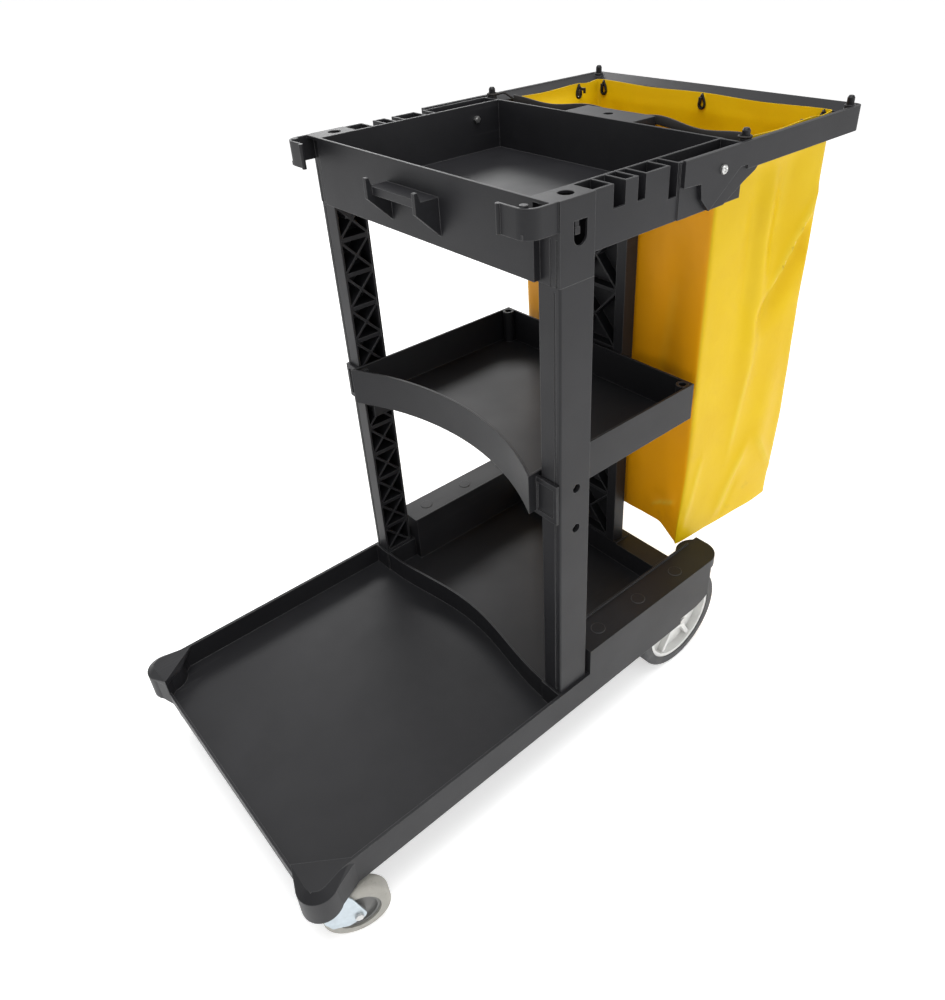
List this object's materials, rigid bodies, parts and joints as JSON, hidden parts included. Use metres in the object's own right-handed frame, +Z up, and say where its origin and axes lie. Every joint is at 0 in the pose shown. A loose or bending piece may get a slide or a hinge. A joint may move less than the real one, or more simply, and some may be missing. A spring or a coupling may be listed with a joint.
{
  "type": "housekeeping cart",
  "caption": "Moulded plastic janitor cart with front platform, middle shelf, top tray with handle slots, rear frame with a hanging bag, fixed rear wheels and swivel front casters.",
  "frame": {"origin": "on the floor under the middle of the cart's outer box", "axes": "+X from the front platform towards the bag, +Y to the left of someone looking along +X, +Z up"},
  "size_m": [1.121, 0.5761, 0.98],
  "materials": {
    "black_plastic": "moulded, semi-matte",
    "peg_plastic": "moulded",
    "vinyl": "coated woven sheet, soft sheen",
    "hardware": "zinc plated",
    "zinc": "bright zinc plated",
    "white_plastic": "moulded",
    "rear_rubber": "smooth tread",
    "bush_plastic": "moulded",
    "grey_plastic": "moulded",
    "caster_rubber": "smooth tread"
  },
  "bodies": {
    "cart": {"base_deck": "black_plastic", "left_upright": "black_plastic", "right_upright": "black_plastic", "rear_upright": "black_plastic", "mid_shelf": "black_plastic", "top_tray": "black_plastic", "bag_frame": "black_plastic", "frame_pegs": "peg_plastic", "bag_hooks": "peg_plastic", "bag": "vinyl", "frame_bolts": "hardware", "frame_nuts": "hardware", "shelf_screws": "hardware", "tray_screws": "hardware", "rear_axle": "hardware", "axle_washers": "hardware", "axle_caps": "hardware", "left_caster_stem": "zinc", "right_caster_stem": "zinc"},
    "left_rear_wheel": {"left_rear_rim": "white_plastic", "left_rear_tyre": "rear_rubber", "left_rear_bush": "bush_plastic"},
    "left_caster_swivel": {"left_caster_fork": "zinc", "left_caster_axle": "hardware", "left_caster_nut": "hardware"},
    "left_caster_roll": {"left_caster_wheel": "grey_plastic", "left_caster_tyre": "caster_rubber", "left_caster_bush": "hardware"},
    "right_rear_wheel": {"right_rear_rim": "white_plastic", "right_rear_tyre": "rear_rubber", "right_rear_bush": "bush_plastic"},
    "right_caster_swivel": {"right_caster_fork": "zinc", "right_caster_axle": "hardware", "right_caster_nut": "hardware"},
    "right_caster_roll": {"right_caster_wheel": "grey_plastic", "right_caster_tyre": "caster_rubber", "right_caster_bush": "hardware"}
  },
  "joints": [
    {"name": "left_rear_wheel_turn", "type": "hinge", "parent": "cart", "child": "left_rear_wheel", "pos_m": [0.25, -0.2395, 0.1015], "axis": [0, 1, 0], "continuous": true},
    {"name": "left_caster_swivel_turn", "type": "hinge", "parent": "cart", "child": "left_caster_swivel", "pos_m": [-0.5225, -0.25, 0.09], "axis": [0, 0, 1], "continuous": true},
    {"name": "left_caster_wheel_turn", "type": "hinge", "parent": "left_caster_swivel", "child": "left_caster_roll", "pos_m": [-0.48826, -0.26112, 0.05], "axis": [0.309, 0.9511, 0], "continuous": true},
    {"name": "right_rear_wheel_turn", "type": "hinge", "parent": "cart", "child": "right_rear_wheel", "pos_m": [0.25, 0.2395, 0.1015], "axis": [0, 1, 0], "continuous": true},
    {"name": "right_caster_swivel_turn", "type": "hinge", "parent": "cart", "child": "right_caster_swivel", "pos_m": [-0.5225, 0.25, 0.09], "axis": [0, 0, 1], "continuous": true},
    {"name": "right_caster_wheel_turn", "type": "hinge", "parent": "right_caster_swivel", "child": "right_caster_roll", "pos_m": [-0.48826, 0.23888, 0.05], "axis": [0.309, 0.9511, 0], "continuous": true}
  ]
}
